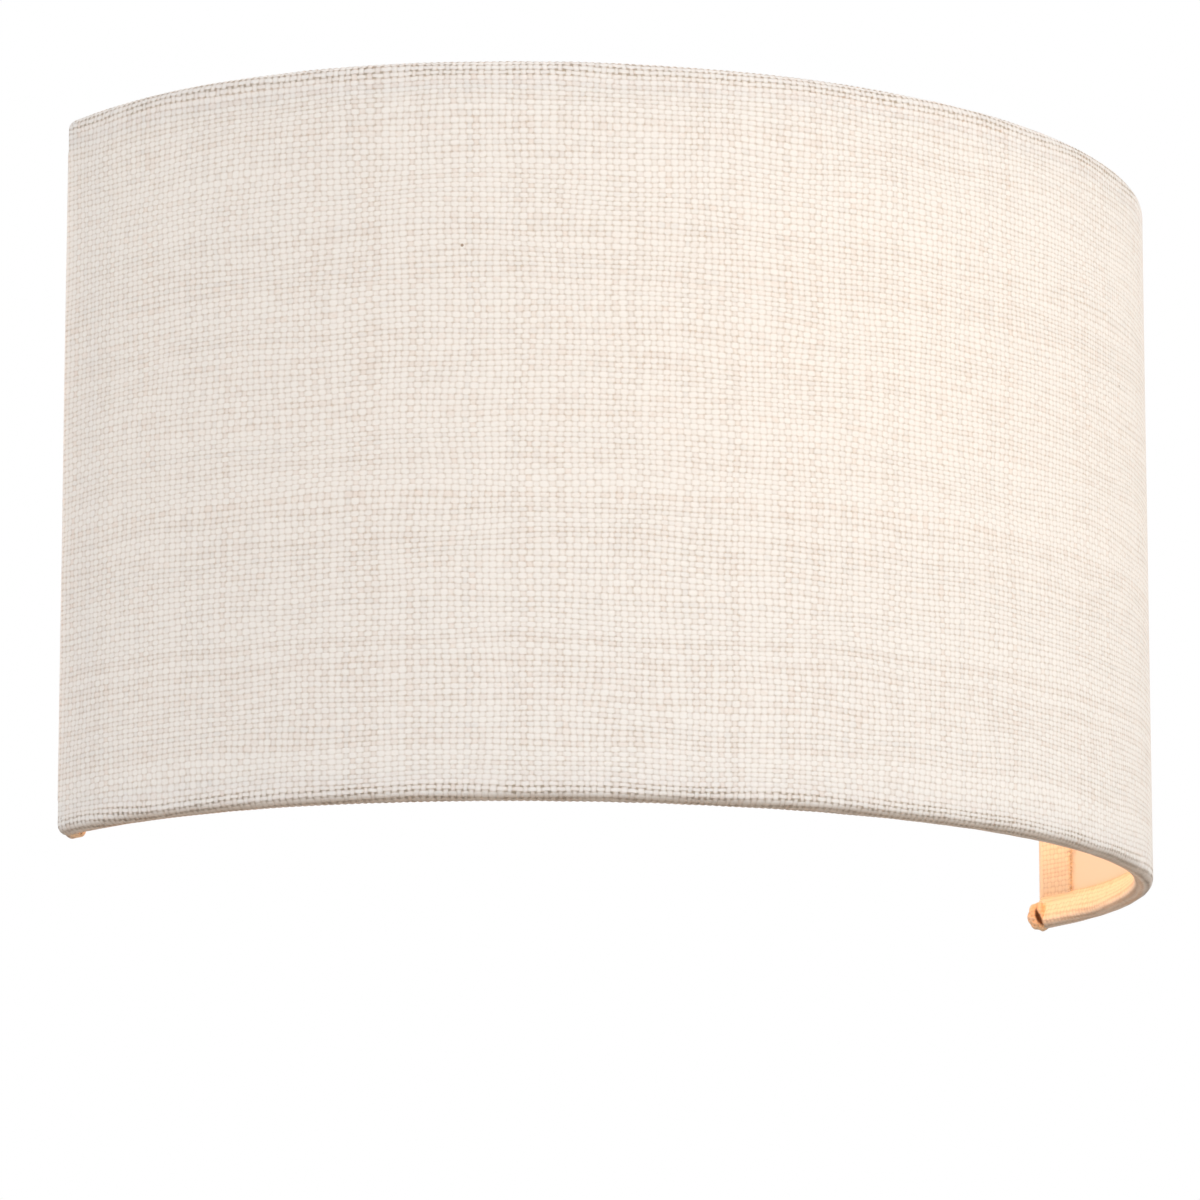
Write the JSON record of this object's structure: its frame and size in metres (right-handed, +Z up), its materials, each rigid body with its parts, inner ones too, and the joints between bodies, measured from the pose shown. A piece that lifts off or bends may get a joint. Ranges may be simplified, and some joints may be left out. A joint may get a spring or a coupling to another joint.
{
  "type": "half-round fabric wall light",
  "caption": "Half-round linen-look fabric shade on a wire frame, hooked on a slim steel wall plate, open at top and bottom, with a small globe lamp standing inside on an angle bracket.",
  "frame": {"origin": "on the wall plane, midway between the two wall screw slots, level with the middle of the shade's height", "axes": "+X along the wall to the right as seen from the room, +Y into the wall, +Z up"},
  "size_m": [0.2908, 0.1325, 0.17],
  "materials": {
    "shade_cover": "plain linen weave, matte",
    "shade_lining": "smooth translucent sheet",
    "top_rim_wire": "white powder coat",
    "bottom_rim_wire": "white powder coat",
    "hanger_wire": "white powder coat",
    "wall_strap": "zinc plated",
    "backplate": "white powder coat",
    "backplate_screws": "zinc plated",
    "shade_hook_left": "white powder coat",
    "shade_hook_right": "white powder coat",
    "hook_rivets": "bare, domed",
    "lamp_bracket": "white powder coat",
    "bracket_rivets": "bare, domed",
    "threaded_nipple": "zinc plated thread",
    "nipple_washer": "zinc plated",
    "nipple_nut": "plain",
    "cable_grommet": "black rubber",
    "lampholder_flex": "white sheath",
    "terminal_block": "natural moulding",
    "terminal_tubes": "plated",
    "terminal_screws": "zinc plated",
    "terminal_block_screw": "zinc plated",
    "earth_screw": "plain",
    "earth_washer": "plain",
    "earth_tag": "tinned",
    "earth_wire": "green insulation with a yellow stripe",
    "live_wire": "brown insulation",
    "neutral_wire": "blue insulation",
    "holder_base": "white moulding",
    "holder_skirt": "white moulding",
    "holder_core": "white insulator",
    "holder_screw_shell": "plain",
    "holder_tongue": "spring temper",
    "holder_terminal_screws": "plain",
    "holder_cores": "insulation",
    "bulb_contact": "tinned",
    "bulb_insulator": "black insulator",
    "bulb_cap": "plated, rolled thread",
    "bulb_collar": "white moulding",
    "bulb_globe": "opal",
    "bulb_led_board": "white solder mask",
    "bulb_leds": "yellow phosphor",
    "bulb_driver": "circuit board and capacitor"
  },
  "bodies": {
    "fitting": {"wall_strap": "wall_strap", "backplate": "backplate", "backplate_screws": "backplate_screws", "shade_hook_left": "shade_hook_left", "shade_hook_right": "shade_hook_right", "hook_rivets": "hook_rivets", "lamp_bracket": "lamp_bracket", "bracket_rivets": "bracket_rivets", "threaded_nipple": "threaded_nipple", "nipple_washer": "nipple_washer", "nipple_nut": "nipple_nut", "cable_grommet": "cable_grommet", "lampholder_flex": "lampholder_flex", "terminal_block": "terminal_block", "terminal_tubes": "terminal_tubes", "terminal_screws": "terminal_screws", "terminal_block_screw": "terminal_block_screw", "earth_screw": "earth_screw", "earth_washer": "earth_washer", "earth_tag": "earth_tag", "earth_wire": "earth_wire", "live_wire": "live_wire", "neutral_wire": "neutral_wire", "holder_base": "holder_base", "holder_skirt": "holder_skirt", "holder_core": "holder_core", "holder_screw_shell": "holder_screw_shell", "holder_tongue": "holder_tongue", "holder_terminal_screws": "holder_terminal_screws", "holder_cores": "holder_cores"},
    "shade": {"shade_cover": "shade_cover", "shade_lining": "shade_lining", "top_rim_wire": "top_rim_wire", "bottom_rim_wire": "bottom_rim_wire", "hanger_wire": "hanger_wire"},
    "lamp": {"bulb_contact": "bulb_contact", "bulb_insulator": "bulb_insulator", "bulb_cap": "bulb_cap", "bulb_collar": "bulb_collar", "bulb_globe": "bulb_globe", "bulb_led_board": "bulb_led_board", "bulb_leds": "bulb_leds", "bulb_driver": "bulb_driver"}
  },
  "joints": [
    {"name": "shade_lift", "type": "slide", "parent": "fitting", "child": "shade", "axis": [0, 0, 1], "range_m": [0, 0.15]},
    {"name": "lamp_withdraw", "type": "slide", "parent": "fitting", "child": "lamp", "axis": [0, 0, 1], "range_m": [0, 0.03]}
  ]
}
